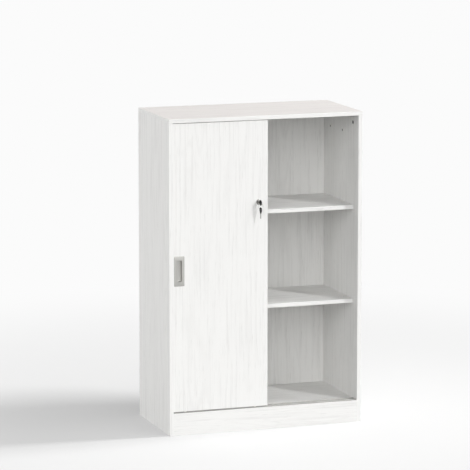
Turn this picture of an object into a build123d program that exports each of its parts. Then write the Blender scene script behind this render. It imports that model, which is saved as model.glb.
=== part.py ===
from build123d import *
from math import asin, cos, degrees, radians, sin
import os

# Office cabinet with two sliding doors, two shelves and a key lock, in millimetres.
# The origin is on the floor, at the middle of the front edge. +X is to the right,
# +Y to the back and +Z up. The cabinet stands with both doors slid to the left.

# Whole cabinet
cabinet_width = 800
cabinet_depth = 400
cabinet_height = 1250

# Boards
board = 16
plinth_height = 72
rear_plinth_inset = 20
band_round = 0.8
overrun = 1

# Back panel in its grooves
back_board = 3
back_inset = 10
back_groove_depth = 6
back_groove_play = 0.2

# Shelves
upper_shelf_top = 870
lower_shelf_top = 492
shelf_end_play = 0.5
shelf_back_play = 1

# Doors
door_thickness = 16
door_recess = 4
door_gap = 8
door_to_shelf = 8
door_overlap = 13
door_stop_gap = 0.5
door_head_gap = 2.5
door_foot_gap = 6

# Bottom track, a double rail
rail_base = 1.2
rail_border = 9
ridge_width = 3
ridge_height = 3.2
track_end_play = 0.5

# Top track, a double channel pressed into two grooves
channel_groove_width = 8
channel_groove_depth = 7
channel_play = 0.2
channel_wall = 1.1
channel_lip = 8
channel_lip_thickness = 1

# Wheels on the rails
tread_radius = 7
wheel_flange = 2
wheel_width = 6
groove_mouth = 4.4
groove_floor = 3.4
wheel_running_gap = 0.3
axle_radius = 1.5
axle_play = 0.06
wheel_from_door_edge = 50

# Wheel housings in the backs of the doors
housing_wheel_play = 1
housing_side_play = 0.5
housing_wall = 2
housing_front_wall = 1.4
housing_plate = 3
housing_plate_width = 42
housing_plate_height = 31
housing_corner = 3
housing_fit = 0.2

# Top guides in the backs of the doors
guide_width = 15
guide_tongue = 4.4
guide_reach = 5
guide_neck_height = 8
guide_plate_width = 30
guide_plate_height = 28
guide_fit = 0.2

# Flush pulls
pull_width = 42
pull_height = 118
pull_plate = 1.2
pull_corner = 2
pull_edge_bevel = 0.6
pull_rim = 2.4
pull_rim_rise = 0.7
pull_rim_bevel = 0.5
pocket_width = 21.5
pocket_height = 87
pocket_corner = 5
pocket_depth = 10
pocket_floor_bevel = 1.5
cup_wall = 1.2
pull_from_edge = 4
pull_middle = 653
pull_fit = 0.3

# Lock in the front door
lock_from_edge = 38
lock_middle = 910
collar_radius = 11
collar_rise = 2.5
collar_bevel = 0.8
barrel_radius = 9
barrel_tail = 2.4
barrel_fit = 0.2
nut_across_flats = 22
nut_thickness = 2.2
plug_radius = 6
plug_recess = 0.4
plug_play = 0.05
plug_tail_side = 6
plug_tail_length = 1.5
plug_tail_play = 0.1
plug_end_gap = 0.1

# Locking arm and the pin that it holds
arm_thickness = 1.4
arm_hub_radius = 8
arm_tip_radius = 5
arm_length = 30
arm_screw_radius = 1.5
arm_screw_head_radius = 4
arm_screw_head = 1.2
arm_screw_length = 8
arm_screw_play = 0.05
lock_turn = 90
pin_rise = 17
pin_radius = 3
pin_collar_radius = 5.5
pin_collar = 1
pin_to_door = 1.9
pin_root_radius = 2.5
pin_root_length = 10
latch_gap = 1

# Keys and their ring
key_head_radius = 11
key_head_length = 26
key_neck_radius = 5
key_head_thickness = 2.6
key_hole_radius = 6
key_blade_width = 7
key_blade_thickness = 2
key_blade_length = 19
key_blade_in_head = 5
key_tip = 2
key_notches = 5
key_notch_depth = 1.4
key_notch_width = 2.2
keyway_play = 0.2
key_shoulder_gap = 7
ring_radius = 9.5
ring_wire = 1.5
ring_play = 0.4

# Cam fittings
cam_radius = 7.5
cam_depth = 12.4
cam_sink = 0.4
cam_fit = 0.1
cam_setback = 34
cam_recess_width = 1.6
cam_recess_length = 8
cam_recess_depth = 2
cam_front_inset = 63

# Two more holes in each side panel
side_hole_radius = 4
side_hole_depth = 12
side_hole_drop = 79
side_hole_places = (181, 315)

# Shelf supports
support_pin_radius = 2.5
support_pin_depth = 8
support_pin_fit = 0.05
support_plate = 1.6
support_plate_length = 10
support_plate_width = 12
support_gusset_length = 6
support_inset = 40

# Places worked out from the sizes above
inner_half = cabinet_width / 2 - board
inner_width = 2 * inner_half
floor_top = plinth_height + board
ceiling = cabinet_height - board
back_front = cabinet_depth - back_inset - back_board
back_half = inner_half + back_groove_depth - back_groove_play
back_bottom = floor_top - back_groove_depth + back_groove_play
back_top = ceiling + back_groove_depth - back_groove_play

front_door_face = door_recess
front_door_rear = front_door_face + door_thickness
rear_door_face = front_door_rear + door_gap
rear_door_rear = rear_door_face + door_thickness
front_lane = front_door_face + door_thickness / 2
rear_lane = rear_door_face + door_thickness / 2
track_middle = (front_lane + rear_lane) / 2
shelf_front = rear_door_rear + door_to_shelf

door_width = (inner_width - 2 * door_stop_gap + door_overlap) / 2
door_travel = inner_width - 2 * door_stop_gap - door_width
door_left = -inner_half + door_stop_gap
door_right = door_left + door_width
door_middle = door_left + door_width / 2
door_bottom = floor_top + door_foot_gap
door_top = ceiling - door_head_gap
door_height = door_top - door_bottom

wheel_radius = tread_radius + wheel_flange
axle_height = floor_top + rail_base + ridge_height + wheel_running_gap + tread_radius
wheel_places = (door_left + wheel_from_door_edge, door_right - wheel_from_door_edge)

lock_x = door_right - lock_from_edge
lock_point = (lock_x, 0, lock_middle)
collar_face = front_door_face - collar_rise
barrel_end = front_door_rear + barrel_tail
plug_end = barrel_end + plug_end_gap
locked_angle = degrees(asin(pin_rise / arm_length))
free_angle = locked_angle - lock_turn
pin_tip = front_door_rear + pin_to_door
pin_reach = arm_length * cos(radians(locked_angle)) + arm_tip_radius + pin_radius + latch_gap
pin_x = lock_x + pin_reach - door_travel
pin_point = (pin_x, 0, lock_middle + pin_rise)


def at_depth(y):
    """A plane that faces the front, at a depth behind the front edge."""
    return Plane.XZ.offset(-y)


def bores(planes, radius, depth):
    """Round blind holes in the part being made, one along the normal of each plane."""
    with BuildSketch(*planes) as holes:
        Circle(radius)
    extrude(holes.sketch, amount=depth, mode=Mode.SUBTRACT)


def cam_plane(seam, direction, face_normal):
    """The face that a cam is let into: its x runs to the seam that the cam draws together."""
    middle = Vector(seam) - Vector(direction) * cam_setback
    return Plane(origin=middle + Vector(face_normal) * (board / 2), x_dir=direction, z_dir=face_normal)


# Corner fittings: cams in the sides hold the top panel, and cams under the bottom panel hold the sides
cam_rows = (cam_front_inset, cabinet_depth - cam_front_inset)
side_middle = cabinet_width / 2 - board / 2
rear_plinth_front = cabinet_depth - rear_plinth_inset - board
top_cams = {
    side: [cam_plane((side * side_middle, y, ceiling), (0, 0, 1), (-side, 0, 0)) for y in cam_rows]
    for side in (-1, 1)
}
floor_cams = [
    cam_plane((side * inner_half, y, plinth_height + board / 2), (side, 0, 0), (0, 0, -1))
    for side in (-1, 1)
    for y in cam_rows
]


# Top panel, with the grooves of the top track and of the back panel in its underside
with BuildPart() as top_panel:
    with BuildSketch(Plane.XY.offset(ceiling)):
        with Locations((0, cabinet_depth / 2)):
            Rectangle(cabinet_width, cabinet_depth)
    extrude(amount=board)
    fillet(top_panel.edges().filter_by(Axis.Z, reverse=True), band_round)
    with BuildSketch(Plane.XY.offset(ceiling)):
        with Locations((0, front_lane), (0, rear_lane)):
            Rectangle(inner_width, channel_groove_width)
    extrude(amount=channel_groove_depth, mode=Mode.SUBTRACT)
    with BuildSketch(Plane.XY.offset(ceiling)):
        with Locations((0, back_front + back_board / 2)):
            Rectangle(inner_width + 2 * back_groove_depth, back_board + back_groove_play)
    extrude(amount=back_groove_depth, mode=Mode.SUBTRACT)
top_panel.part.label = "top_panel"


def support_planes(side):
    """The shelf supports of one side, on the panel's inner face."""
    rows = (shelf_front + support_inset, back_front - support_inset)
    heights = (upper_shelf_top - board, lower_shelf_top - board)
    return [
        Plane(
            origin=(side * inner_half, y, z - support_pin_radius),
            x_dir=(0, 1, 0),
            z_dir=(-side, 0, 0),
        )
        for y in rows
        for z in heights
    ]


def side_panel(side):
    """A side panel: -1 is the left one and 1 the right one."""
    with BuildPart() as panel:
        with BuildSketch():
            with Locations((side * side_middle, cabinet_depth / 2)):
                Rectangle(board, cabinet_depth)
        extrude(amount=ceiling)
        fillet(panel.faces().sort_by(Axis.Y)[0].edges().filter_by(Axis.Z), band_round)
        with BuildSketch():
            with Locations((side * inner_half, back_front + back_board / 2)):
                Rectangle(2 * back_groove_depth, back_board + back_groove_play)
        extrude(amount=ceiling, mode=Mode.SUBTRACT)
        bores(top_cams[side], cam_radius + cam_fit, -cam_depth - cam_sink)
        hole_planes = [
            Plane(
                origin=(side * inner_half, y, ceiling - side_hole_drop),
                x_dir=(0, 1, 0),
                z_dir=(side, 0, 0),
            )
            for y in side_hole_places
        ]
        bores(hole_planes, side_hole_radius, side_hole_depth)
        bores(support_planes(side), support_pin_radius + support_pin_fit, -support_pin_depth)
    return panel


left_side_panel = side_panel(-1)
left_side_panel.part.label = "left_side_panel"
right_side_panel = side_panel(1)
right_side_panel.part.label = "right_side_panel"


# Bottom panel, whose front edge shows between the doors and the plinth
with BuildPart() as bottom_panel:
    with BuildSketch(Plane.XY.offset(plinth_height)):
        with Locations((0, cabinet_depth / 2)):
            Rectangle(inner_width, cabinet_depth)
    extrude(amount=board)
    fillet(bottom_panel.faces().sort_by(Axis.Y)[0].edges().filter_by(Axis.X), band_round)
    with BuildSketch(Plane.XY.offset(floor_top)):
        with Locations((0, back_front + back_board / 2)):
            Rectangle(inner_width, back_board + back_groove_play)
    extrude(amount=-back_groove_depth, mode=Mode.SUBTRACT)
    bores(floor_cams, cam_radius + cam_fit, -cam_depth - cam_sink)
bottom_panel.part.label = "bottom_panel"


def plinth(front_y):
    """A plinth board on edge between the side panels."""
    with BuildPart() as strip:
        with BuildSketch(at_depth(front_y)):
            with Locations((0, plinth_height / 2)):
                Rectangle(inner_width, plinth_height)
        extrude(amount=-board)
        fillet(strip.faces().sort_by(Axis.Y)[0].edges().sort_by(Axis.Z)[-1], band_round)
    return strip


front_plinth = plinth(0)
front_plinth.part.label = "front_plinth"
rear_plinth = plinth(rear_plinth_front)
rear_plinth.part.label = "rear_plinth"

# Back panel, held on all four sides by its groove
with BuildPart() as back_panel:
    with BuildSketch(at_depth(back_front)):
        with Locations((0, (back_bottom + back_top) / 2)):
            Rectangle(2 * back_half, back_top - back_bottom)
    extrude(amount=-back_board)
back_panel.part.label = "back_panel"


def shelf(top):
    """A loose shelf that lies on its four supports."""
    back = back_front - shelf_back_play
    with BuildPart() as loose_board:
        with BuildSketch(Plane.XY.offset(top - board)):
            with Locations((0, (shelf_front + back) / 2)):
                Rectangle(inner_width - 2 * shelf_end_play, back - shelf_front)
        extrude(amount=board)
        fillet(loose_board.faces().sort_by(Axis.Y)[0].edges().filter_by(Axis.X), band_round)
    return loose_board


upper_shelf = shelf(upper_shelf_top)
upper_shelf.part.label = "upper_shelf"
lower_shelf = shelf(lower_shelf_top)
lower_shelf.part.label = "lower_shelf"

# Shelf supports: a pin in the side panel and a plate under the shelf, with a round gusset below it
with BuildPart() as shelf_supports:
    planes = support_planes(-1) + support_planes(1)
    with BuildSketch(*planes):
        Circle(support_pin_radius)
    extrude(amount=-support_pin_depth)
    with BuildSketch(*planes):
        Circle(support_pin_radius)
    extrude(amount=support_gusset_length)
    for plane in planes:
        with BuildSketch(Plane.XY.offset(plane.origin.Z + support_pin_radius)):
            with Locations((plane.origin.X + plane.z_dir.X * support_plate_length / 2, plane.origin.Y)):
                Rectangle(support_plate_length, support_plate_width)
        extrude(amount=-support_plate)
shelf_supports.part.label = "shelf_supports"

# Bottom track, a low double rail on the bottom panel
with BuildPart() as bottom_track:
    with BuildSketch(Plane.YZ.offset(-inner_half + track_end_play)):
        with Locations((track_middle, floor_top + rail_base / 2)):
            Rectangle(rear_lane - front_lane + 2 * rail_border, rail_base)
        straight = ridge_height - ridge_width / 2
        foot = floor_top + rail_base
        with Locations((front_lane, foot + straight / 2), (rear_lane, foot + straight / 2)):
            Rectangle(ridge_width, straight)
        with Locations((front_lane, foot + straight), (rear_lane, foot + straight)):
            Circle(ridge_width / 2)
    extrude(amount=inner_width - 2 * track_end_play)
bottom_track.part.label = "bottom_track"

# Top track, two channels joined by one thin lip and pressed up into the top panel
with BuildPart() as top_track:
    channel_width = channel_groove_width - 2 * channel_play
    channel_height = channel_groove_depth - channel_play
    with BuildSketch(Plane.YZ.offset(-inner_half + track_end_play)):
        with Locations((track_middle, ceiling - channel_lip_thickness / 2)):
            Rectangle(rear_lane - front_lane + 2 * channel_lip, channel_lip_thickness)
        with Locations(
            (front_lane, ceiling + channel_height / 2),
            (rear_lane, ceiling + channel_height / 2),
        ):
            Rectangle(channel_width, channel_height)
        hollow = channel_height - channel_wall + channel_lip_thickness
        hollow_middle = ceiling - channel_lip_thickness + hollow / 2
        with Locations((front_lane, hollow_middle), (rear_lane, hollow_middle)):
            Rectangle(channel_width - 2 * channel_wall, hollow, mode=Mode.SUBTRACT)
    extrude(amount=inner_width - 2 * track_end_play)
top_track.part.label = "top_track"


# Cams, each with a cross recess in its face
all_cams = [face.offset(-cam_sink) for face in top_cams[-1] + top_cams[1] + floor_cams]
with BuildPart() as cam_fittings:
    with BuildSketch(*all_cams):
        Circle(cam_radius)
    extrude(amount=-cam_depth)
    with BuildSketch(*all_cams):
        Rectangle(cam_recess_length, cam_recess_width)
        Rectangle(cam_recess_width, cam_recess_length)
    extrude(amount=-cam_recess_depth, mode=Mode.SUBTRACT)
cam_fittings.part.label = "cam_fittings"

# Sizes that the wheel housing and its pocket in the door share
pod_half = wheel_radius + housing_wheel_play + housing_wall
pod_top = axle_height + wheel_radius + housing_wheel_play + housing_wall
cavity_half = wheel_width / 2 + housing_side_play
pod_front_step = cavity_half + housing_front_wall
housing_top = door_bottom + housing_plate_height


def plate_sketch(rear_y, width, bottom, top):
    """One rectangle above each wheel, on the door's rear face."""
    with BuildSketch(at_depth(rear_y)) as outline:
        with Locations(*[(x, (bottom + top) / 2) for x in wheel_places]):
            Rectangle(width, top - bottom)
    return outline.sketch


def wheel_housings(rear_y):
    """Two moulded housings: a plate flush with the door's back and a pod around the wheel."""
    lane = rear_y - door_thickness / 2
    with BuildPart() as housings:
        outline = plate_sketch(rear_y, housing_plate_width, door_bottom, housing_top)
        extrude(outline, amount=housing_plate)
        fillet(housings.edges().filter_by(Axis.Y).group_by(Axis.Z)[-1], housing_corner)
        outline = plate_sketch(rear_y, 2 * pod_half, door_bottom, pod_top)
        extrude(outline, amount=rear_y - lane + pod_front_step)
        cavity_width = 2 * (pod_half - housing_wall)
        outline = plate_sketch(lane + cavity_half, cavity_width, door_bottom, pod_top - housing_wall)
        extrude(outline, amount=2 * cavity_half, mode=Mode.SUBTRACT)
        with BuildSketch(at_depth(rear_y)):
            with Locations(*[(x, axle_height) for x in wheel_places]):
                Circle(axle_radius + axle_play)
        extrude(amount=rear_y - lane + pod_front_step, mode=Mode.SUBTRACT)
    return housings


def wheel_axles(rear_y):
    """Two steel pins, each as long as its housing is deep."""
    lane = rear_y - door_thickness / 2
    with BuildPart() as axles:
        with BuildSketch(at_depth(rear_y)):
            with Locations(*[(x, axle_height) for x in wheel_places]):
                Circle(axle_radius)
        extrude(amount=rear_y - lane + pod_front_step)
    return axles


def wheel(x, lane):
    """A nylon wheel, turned about its axle, with a groove that rides on the ridge."""
    half = wheel_width / 2
    with BuildPart() as turned:
        with BuildSketch(Plane(origin=(x, lane, axle_height), x_dir=(0, 1, 0), z_dir=(1, 0, 0))):
            with BuildLine():
                Polyline(
                    (-half, axle_radius + axle_play),
                    (-half, wheel_radius),
                    (-groove_mouth / 2, wheel_radius),
                    (-groove_floor / 2, tread_radius),
                    (groove_floor / 2, tread_radius),
                    (groove_mouth / 2, wheel_radius),
                    (half, wheel_radius),
                    (half, axle_radius + axle_play),
                    close=True,
                )
            make_face()
        revolve(axis=Axis((x, lane, axle_height), (0, 1, 0)))
    return turned


def top_guides(rear_y):
    """Two guides: a plate on the door's back, a neck through the door's head and a tongue."""
    lane = rear_y - door_thickness / 2
    tongue_front = lane - guide_tongue / 2
    with BuildPart() as guides:
        outline = plate_sketch(rear_y, guide_plate_width, door_top - guide_plate_height, door_top)
        extrude(outline, amount=housing_plate)
        fillet(guides.edges().filter_by(Axis.Y).group_by(Axis.Z)[0], housing_corner)
        outline = plate_sketch(rear_y, guide_width, door_top - guide_neck_height, door_top)
        extrude(outline, amount=rear_y - tongue_front)
        with BuildSketch(Plane.XY.offset(door_top)):
            with Locations(*[(x, lane) for x in wheel_places]):
                SlotOverall(guide_width, guide_tongue)
        extrude(amount=guide_reach)
    return guides


def rounded_plate(face_y, x, width, height, corner):
    """A rectangle with round corners around the middle of a flush pull."""
    with BuildSketch(at_depth(face_y)) as outline:
        with Locations((x, pull_middle)):
            RectangleRounded(width, height, corner)
    return outline.sketch


cup_width = pocket_width + 2 * cup_wall
cup_height = pocket_height + 2 * cup_wall
cup_corner = pocket_corner + cup_wall
cup_depth = pocket_depth + cup_wall


def flush_pull(face_y, x):
    """A metal plate on the door's face, with a rolled rim around a finger pocket."""
    with BuildPart() as pull:
        outline = rounded_plate(face_y, x, pull_width, pull_height, pull_corner)
        extrude(outline, amount=pull_plate)
        chamfer(pull.faces().sort_by(Axis.Y)[0].edges(), pull_edge_bevel)
        rim_face = face_y - pull_plate
        outline = rounded_plate(
            rim_face,
            x,
            pocket_width + 2 * pull_rim,
            pocket_height + 2 * pull_rim,
            pocket_corner + pull_rim,
        )
        extrude(outline, amount=pull_rim_rise)
        chamfer(pull.faces().sort_by(Axis.Y)[0].edges(), pull_rim_bevel)
        outline = rounded_plate(face_y, x, cup_width, cup_height, cup_corner)
        extrude(outline, amount=-cup_depth)
        outline = rounded_plate(rim_face - pull_rim_rise, x, pocket_width, pocket_height, pocket_corner)
        extrude(outline, amount=-(pull_plate + pull_rim_rise + pocket_depth), mode=Mode.SUBTRACT)
        floor_y = face_y + pocket_depth
        floor_face = pull.faces().filter_by(Axis.Y).sort_by_distance((x, floor_y, pull_middle))[0]
        chamfer(floor_face.edges(), pocket_floor_bevel)
    return pull


def door_panel(face_y, pull_x):
    """A door board with the recesses of its pull, its wheel housings and its top guides."""
    rear_y = face_y + door_thickness
    lane = face_y + door_thickness / 2
    with BuildPart() as panel:
        with BuildSketch(at_depth(face_y)):
            with Locations((door_middle, (door_bottom + door_top) / 2)):
                Rectangle(door_width, door_height)
        extrude(amount=-door_thickness)
        fillet(panel.edges().filter_by(Axis.Y, reverse=True), band_round)
        outline = rounded_plate(
            face_y,
            pull_x,
            cup_width + 2 * pull_fit,
            cup_height + 2 * pull_fit,
            cup_corner + pull_fit,
        )
        extrude(outline, amount=-cup_depth - pull_fit, mode=Mode.SUBTRACT)
        outline = plate_sketch(
            rear_y,
            housing_plate_width + 2 * housing_fit,
            door_bottom - overrun,
            housing_top + housing_fit,
        )
        extrude(outline, amount=housing_plate, mode=Mode.SUBTRACT)
        outline = plate_sketch(
            rear_y,
            2 * (pod_half + housing_fit),
            door_bottom - overrun,
            pod_top + housing_fit,
        )
        extrude(outline, amount=rear_y - lane + pod_front_step + housing_fit, mode=Mode.SUBTRACT)
        outline = plate_sketch(
            rear_y,
            guide_plate_width + 2 * guide_fit,
            door_top - guide_plate_height - guide_fit,
            door_top + overrun,
        )
        extrude(outline, amount=housing_plate, mode=Mode.SUBTRACT)
        outline = plate_sketch(
            rear_y,
            guide_width + 2 * guide_fit,
            door_top - guide_neck_height - guide_fit,
            door_top + overrun,
        )
        extrude(outline, amount=rear_y - lane + guide_tongue / 2 + guide_fit, mode=Mode.SUBTRACT)
    return panel


front_pull_x = door_left + pull_from_edge + pull_width / 2
rear_pull_x = door_right - pull_from_edge - pull_width / 2

# Front door, with the lock's bore near its right edge
front_door_blank = door_panel(front_door_face, front_pull_x)
lock_bore = at_depth(front_door_face).shift_origin((lock_x, front_door_face, lock_middle))
with BuildPart() as front_door_panel:
    add(front_door_blank.part)
    bores([lock_bore], barrel_radius + barrel_fit, -door_thickness)
front_door_panel.part.label = "front_door_panel"

front_door_pull = flush_pull(front_door_face, front_pull_x)
front_door_pull.part.label = "front_door_pull"
front_wheel_housings = wheel_housings(front_door_rear)
front_wheel_housings.part.label = "front_wheel_housings"
front_wheel_axles = wheel_axles(front_door_rear)
front_wheel_axles.part.label = "front_wheel_axles"
front_top_guides = top_guides(front_door_rear)
front_top_guides.part.label = "front_top_guides"

# Rear door, with the hole of the strike pin near its left edge
rear_door_blank = door_panel(rear_door_face, rear_pull_x)
pin_bore = at_depth(rear_door_face).shift_origin((pin_x, rear_door_face, lock_middle + pin_rise))
with BuildPart() as rear_door_panel:
    add(rear_door_blank.part)
    bores([pin_bore], pin_root_radius, -pin_root_length)
rear_door_panel.part.label = "rear_door_panel"

rear_door_pull = flush_pull(rear_door_face, rear_pull_x)
rear_door_pull.part.label = "rear_door_pull"
rear_wheel_housings = wheel_housings(rear_door_rear)
rear_wheel_housings.part.label = "rear_wheel_housings"
rear_wheel_axles = wheel_axles(rear_door_rear)
rear_wheel_axles.part.label = "rear_wheel_axles"
rear_top_guides = top_guides(rear_door_rear)
rear_top_guides.part.label = "rear_top_guides"

# Wheels, two under each door
front_left_wheel = wheel(wheel_places[0], front_lane)
front_left_wheel.part.label = "front_left_wheel"
front_right_wheel = wheel(wheel_places[1], front_lane)
front_right_wheel.part.label = "front_right_wheel"
rear_left_wheel = wheel(wheel_places[0], rear_lane)
rear_left_wheel.part.label = "rear_left_wheel"
rear_right_wheel = wheel(wheel_places[1], rear_lane)
rear_right_wheel.part.label = "rear_right_wheel"

lock_section = Plane(origin=lock_point, x_dir=(0, 1, 0), z_dir=(1, 0, 0))
lock_axis = Axis(lock_point, (0, 1, 0))

# Lock housing: a round collar on the door's face and a barrel through the door
with BuildPart() as lock_housing:
    bore_radius = plug_radius + plug_play
    with BuildSketch(lock_section):
        with BuildLine():
            Polyline(
                (collar_face, bore_radius),
                (collar_face, collar_radius - collar_bevel),
                (collar_face + collar_bevel, collar_radius),
                (front_door_face, collar_radius),
                (front_door_face, barrel_radius),
                (barrel_end, barrel_radius),
                (barrel_end, bore_radius),
                close=True,
            )
        make_face()
    revolve(axis=lock_axis)
lock_housing.part.label = "lock_housing"

with BuildPart() as lock_nut:
    with BuildSketch(at_depth(front_door_rear)):
        with Locations((lock_x, lock_middle)):
            RegularPolygon(nut_across_flats / 2, side_count=6, major_radius=False)
            Circle(barrel_radius, mode=Mode.SUBTRACT)
    extrude(amount=-nut_thickness)
lock_nut.part.label = "lock_nut"

# Turning plug: a keyway in front and a square tail for the arm behind
with BuildPart() as lock_plug:
    plug_face = collar_face + plug_recess
    with BuildSketch(at_depth(plug_face)):
        with Locations((lock_x, lock_middle)):
            Circle(plug_radius)
    extrude(amount=plug_face - plug_end)
    with BuildSketch(at_depth(plug_end)):
        with Locations((lock_x, lock_middle)):
            Rectangle(plug_tail_side, plug_tail_side)
    extrude(amount=-plug_tail_length)
    with BuildSketch(at_depth(plug_face)):
        with Locations((lock_x, lock_middle)):
            Rectangle(key_blade_thickness + 2 * keyway_play, key_blade_width + 2 * keyway_play)
    keyway_depth = key_blade_length - key_shoulder_gap + keyway_play
    extrude(amount=-keyway_depth, mode=Mode.SUBTRACT)
    with BuildSketch(at_depth(plug_end + plug_tail_length)):
        with Locations((lock_x, lock_middle)):
            Circle(arm_screw_radius + arm_screw_play)
    extrude(amount=arm_screw_length, mode=Mode.SUBTRACT)
lock_plug.part.label = "lock_plug"

# Locking arm, shown unlocked, pointing down and to the right behind the front door
arm_tip = (arm_length * cos(radians(free_angle)), arm_length * sin(radians(free_angle)))
with BuildPart() as lock_arm:
    with BuildSketch(at_depth(plug_end)):
        with Locations((lock_x, lock_middle)):
            Circle(arm_hub_radius)
        with Locations((lock_x + arm_tip[0], lock_middle + arm_tip[1])):
            Circle(arm_tip_radius)
        make_hull()
        with Locations((lock_x, lock_middle)):
            side = plug_tail_side + 2 * plug_tail_play
            Rectangle(side, side, mode=Mode.SUBTRACT)
    extrude(amount=-arm_thickness)
lock_arm.part.label = "lock_arm"

with BuildPart() as arm_screw:
    tail_end = plug_end + plug_tail_length
    with BuildSketch(at_depth(tail_end)):
        with Locations((lock_x, lock_middle)):
            Circle(arm_screw_head_radius)
    extrude(amount=-arm_screw_head)
    with BuildSketch(at_depth(tail_end)):
        with Locations((lock_x, lock_middle)):
            Circle(arm_screw_radius)
    extrude(amount=arm_screw_length)
arm_screw.part.label = "arm_screw"

# Strike pin on the face of the rear door
pin_section = Plane(origin=pin_point, x_dir=(0, 1, 0), z_dir=(1, 0, 0))
with BuildPart() as strike_pin:
    with BuildSketch(pin_section):
        with BuildLine():
            Polyline(
                (pin_tip, 0),
                (pin_tip, pin_radius),
                (rear_door_face - pin_collar, pin_radius),
                (rear_door_face - pin_collar, pin_collar_radius),
                (rear_door_face, pin_collar_radius),
                (rear_door_face, pin_root_radius),
                (rear_door_face + pin_root_length, pin_root_radius),
                (rear_door_face + pin_root_length, 0),
                close=True,
            )
        make_face()
    revolve(axis=Axis(pin_point, (0, 1, 0)))
strike_pin.part.label = "strike_pin"


def key_head(middle):
    """An egg-shaped plastic head around a blade: x of its plane runs to the key's tip."""
    with BuildPart() as head:
        with BuildSketch(middle):
            Circle(key_head_radius)
            with Locations((key_head_length - key_head_radius - key_neck_radius, 0)):
                Circle(key_neck_radius)
            make_hull()
        extrude(amount=key_head_thickness / 2, both=True)
        with BuildSketch(middle):
            Circle(key_hole_radius)
        extrude(amount=key_head_thickness, both=True, mode=Mode.SUBTRACT)
        root = key_head_length - key_head_radius - key_blade_in_head
        with BuildSketch(middle):
            with Locations((root + key_blade_in_head / 2, 0)):
                Rectangle(key_blade_in_head, key_blade_width)
        extrude(amount=key_blade_thickness / 2, both=True, mode=Mode.SUBTRACT)
    return head


def key_blade(middle):
    """A flat steel blade with a pointed tip and cut notches, its root held in the head."""
    root = key_head_length - key_head_radius - key_blade_in_head
    start = key_head_length - key_head_radius
    end = start + key_blade_length
    half = key_blade_width / 2
    pitch = (key_blade_length - key_shoulder_gap - key_tip) / key_notches
    with BuildPart() as blade:
        with BuildSketch(middle):
            with BuildLine():
                Polyline(
                    (root, -half),
                    (root, half),
                    (end - key_tip, half),
                    (end, 0),
                    (end - key_tip, -half),
                    close=True,
                )
            make_face()
            for i in range(key_notches):
                x = start + key_shoulder_gap + pitch * (i + 1 / 2)
                with BuildLine():
                    Polyline(
                        (x - key_notch_width / 2, half + overrun),
                        (x - key_notch_width / 2, half),
                        (x, half - key_notch_depth),
                        (x + key_notch_width / 2, half),
                        (x + key_notch_width / 2, half + overrun),
                        close=True,
                    )
                make_face(mode=Mode.SUBTRACT)
        extrude(amount=key_blade_thickness / 2, both=True)
    return blade


# Key in the lock, with its head upright and square to the door
head_middle_y = plug_face - key_shoulder_gap - (key_head_length - key_head_radius)
key_in_lock = Plane(origin=(lock_x, head_middle_y, lock_middle), x_dir=(0, 1, 0), z_dir=(1, 0, 0))
lock_key_head = key_head(key_in_lock)
lock_key_head.part.label = "lock_key_head"
lock_key_blade = key_blade(key_in_lock)
lock_key_blade.part.label = "lock_key_blade"

# Key ring of flat wire, hung through the hole of the key in the lock
ring_top = lock_middle - key_hole_radius + ring_play + ring_wire / 2
ring_middle = ring_top - ring_radius
with BuildPart() as key_ring:
    ring_centre = (lock_x, head_middle_y, ring_middle)
    with BuildSketch(Plane(origin=ring_centre, x_dir=(1, 0, 0), z_dir=(0, 0, 1))):
        with Locations((ring_radius, 0)):
            Rectangle(ring_wire, ring_wire)
    revolve(axis=Axis(ring_centre, (0, 1, 0)))
key_ring.part.label = "key_ring"

# Spare key, hanging by the top of its own hole from the ring's lowest point
ring_bottom = ring_middle - ring_radius
spare_middle = ring_bottom + ring_wire / 2 + ring_play - key_hole_radius
spare_plane = Plane(origin=(lock_x, head_middle_y, spare_middle), x_dir=(0, 0, -1), z_dir=(1, 0, 0))
spare_key_head = key_head(spare_plane)
spare_key_head.part.label = "spare_key_head"
spare_key_blade = key_blade(spare_plane)
spare_key_blade.part.label = "spare_key_blade"

pieces = (
    top_panel,
    left_side_panel,
    right_side_panel,
    bottom_panel,
    front_plinth,
    rear_plinth,
    back_panel,
    upper_shelf,
    lower_shelf,
    shelf_supports,
    bottom_track,
    top_track,
    cam_fittings,
    front_door_panel,
    front_door_pull,
    front_wheel_housings,
    front_wheel_axles,
    front_top_guides,
    front_left_wheel,
    front_right_wheel,
    lock_housing,
    lock_nut,
    lock_plug,
    lock_arm,
    arm_screw,
    lock_key_head,
    lock_key_blade,
    key_ring,
    spare_key_head,
    spare_key_blade,
    rear_door_panel,
    rear_door_pull,
    rear_wheel_housings,
    rear_wheel_axles,
    rear_top_guides,
    rear_left_wheel,
    rear_right_wheel,
    strike_pin,
)

os.makedirs("parts", exist_ok=True)
for piece in pieces:
    export_step(piece.part, f"parts/{piece.part.label}.step")
print("door width", door_width, "door travel", door_travel, "axle height", axle_height)
print("lock at", lock_x, lock_middle, "pin at", pin_x, "arm free at", free_angle)
print("key ring at", head_middle_y, ring_middle, "spare key hangs from", ring_bottom)
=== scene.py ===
# %% [markdown]
# An office cabinet in white wood-grain board stands on a pale floor. Its left door covers the left half,
# and the second door is slid behind it, so the right half shows two shelves. The model of its boards,
# track, wheels, lock and pulls is already made. This lesson gives each of them its finish, rebuilds the
# small metal and plastic pieces that a close look would miss, and sets up the camera and the light of a
# plain studio picture.

# %% Load the cabinet
import math
import bmesh
import bpy
from mathutils import Matrix, Vector


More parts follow.
